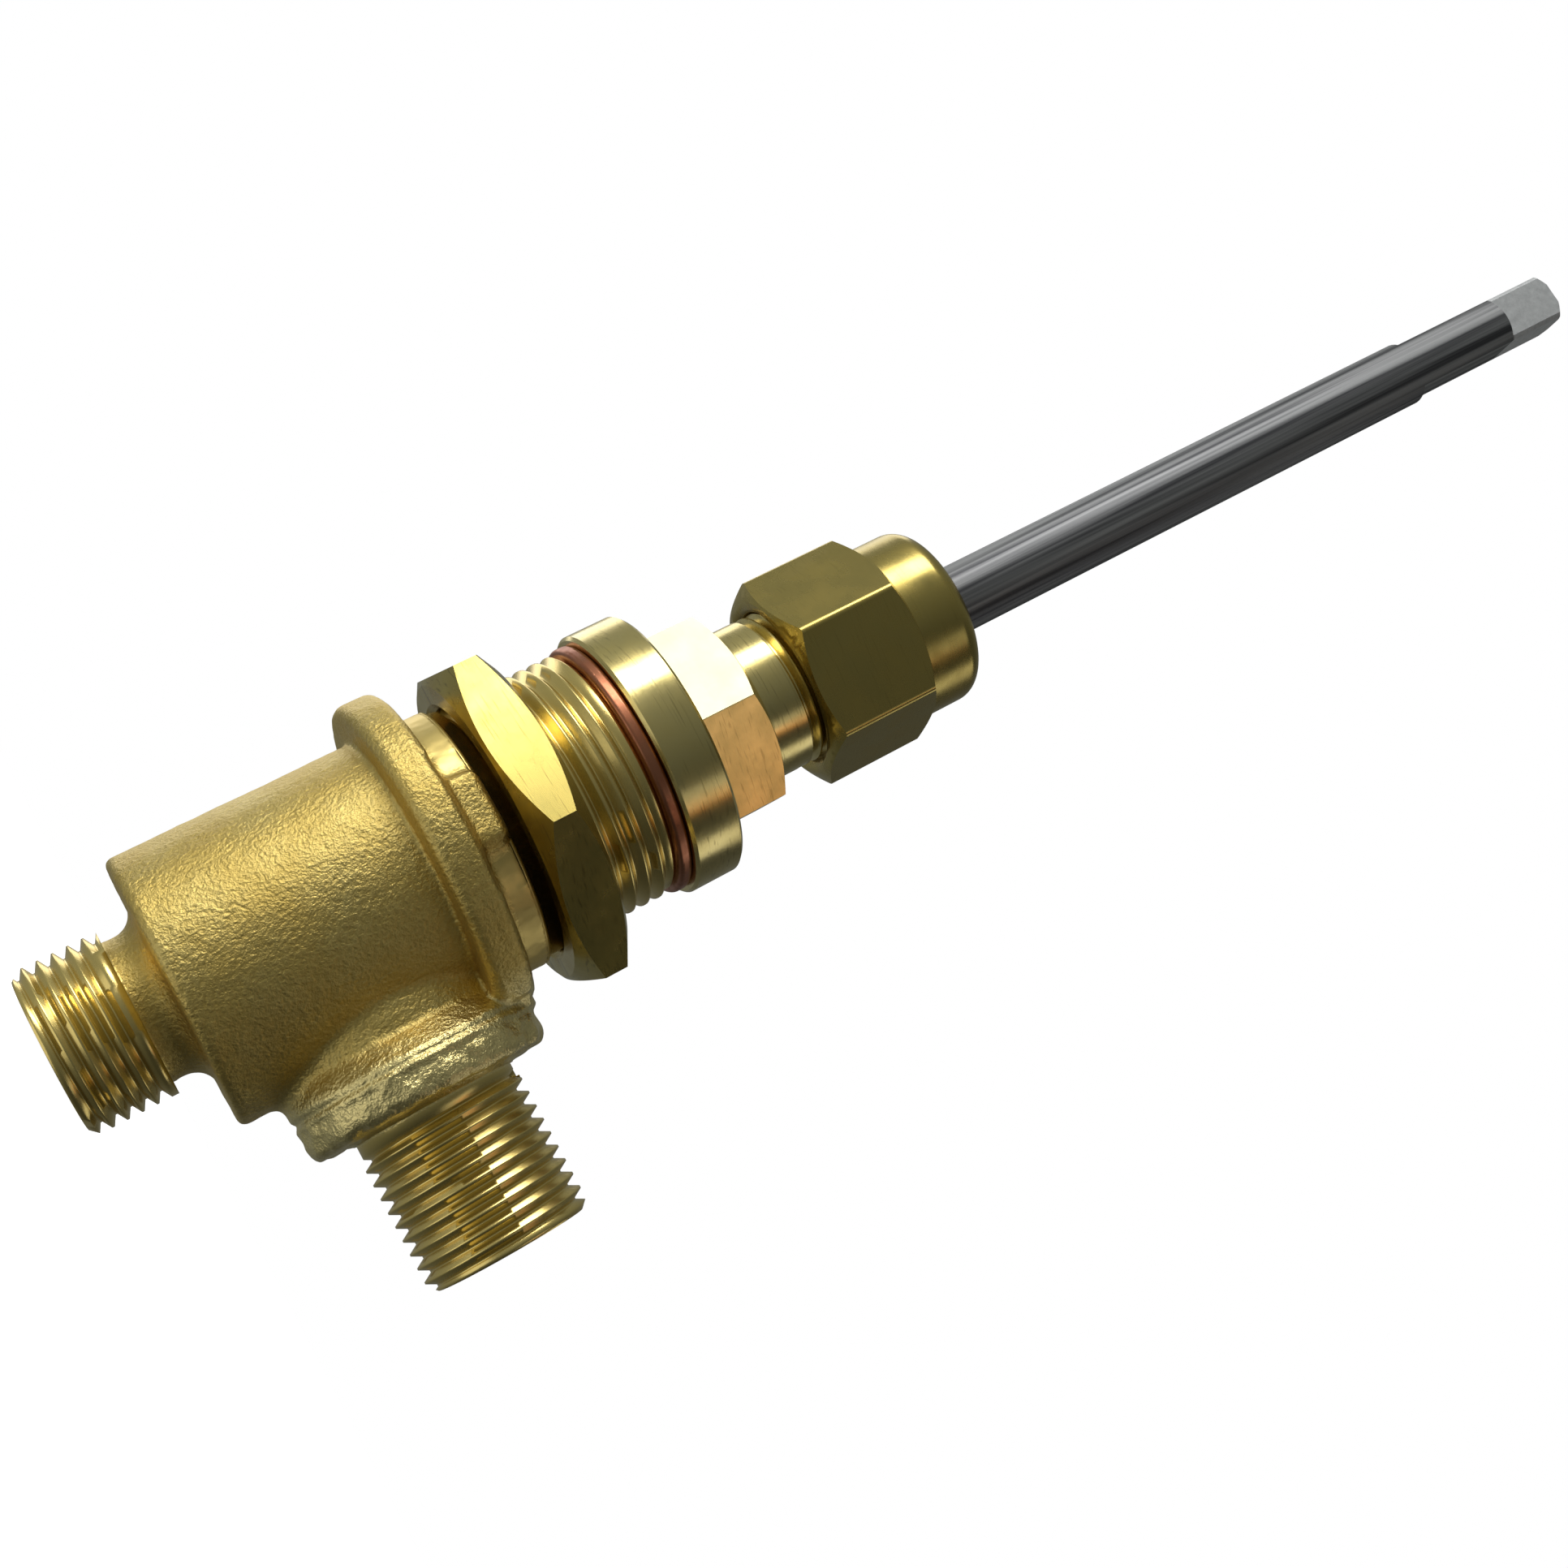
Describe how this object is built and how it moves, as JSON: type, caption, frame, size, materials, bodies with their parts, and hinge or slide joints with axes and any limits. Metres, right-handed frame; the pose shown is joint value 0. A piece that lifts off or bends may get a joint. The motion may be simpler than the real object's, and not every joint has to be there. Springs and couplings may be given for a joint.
{
  "type": "pressure relief valve",
  "caption": "Panel-mounted brass angle relief valve: threaded inlet below, threaded side outlet, spring-loaded disc, locknut, hex bonnet, gland nut and long steel spindle with a square end.",
  "frame": {"origin": "centre of the inlet's end face, on the spindle's axis", "axes": "+Z runs along the spindle from the inlet to the square end, +X runs out of the side outlet"},
  "size_m": [0.0674, 0.0462, 0.2339],
  "materials": {
    "cast_brass": "sand cast and blasted, machined threads",
    "turned_brass": "turned",
    "milled_brass": "milled hexagon, worn",
    "bonnet_brass": "turned and milled, fine scratches",
    "gland_brass": "turned and milled, rounded corners",
    "annealed_copper": "soft copper, dull",
    "spindle_steel": "ground and polished bar",
    "stainless_steel": "turned",
    "bearing_steel": "polished",
    "spring_steel": "drawn wire",
    "seal_rubber": "moulded rubber",
    "graphite_packing": "pressed graphite"
  },
  "bodies": {
    "root": {"valve_body": "cast_brass", "seat_ring": "turned_brass", "bonnet": "bonnet_brass", "copper_washer": "annealed_copper", "packing_base_ring": "turned_brass", "packing_ring_1": "graphite_packing", "packing_ring_2": "graphite_packing", "packing_ring_3": "graphite_packing", "gland_follower": "turned_brass", "gland_nut": "gland_brass"},
    "disc": {"disc_holder": "turned_brass", "seal_disc": "seal_rubber", "disc_washer": "stainless_steel", "disc_screw": "stainless_steel", "relief_spring": "spring_steel"},
    "follower": {"spring_follower": "turned_brass", "guide_key": "stainless_steel", "thrust_ball": "bearing_steel"},
    "spindle": {"spindle": "spindle_steel"},
    "locknut": {"panel_locknut": "milled_brass"}
  },
  "joints": [
    {"name": "disc_lift", "type": "slide", "parent": "root", "child": "disc", "axis": [0, 0, 1], "range_m": [0, 0.003], "stiffness_N_per_m": 7000, "springref_m": -0.002, "deforming": ["relief_spring"]},
    {"name": "follower_travel", "type": "slide", "parent": "root", "child": "follower", "axis": [0, 0, 1], "range_m": [-0.0035, 0.0035]},
    {"name": "spindle_turn", "type": "hinge", "parent": "follower", "child": "spindle", "pos_m": [0, 0, 0.0625], "axis": [0, 0, 1], "range_deg": [-721, 721]},
    {"name": "locknut_travel", "type": "slide", "parent": "root", "child": "locknut", "axis": [0, 0, 1], "range_m": [-0.0014, 0.0088]}
  ],
  "couplings": [
    {"joint": "spindle_turn", "follows": "follower_travel", "rad_per_m": 3590.4}
  ]
}
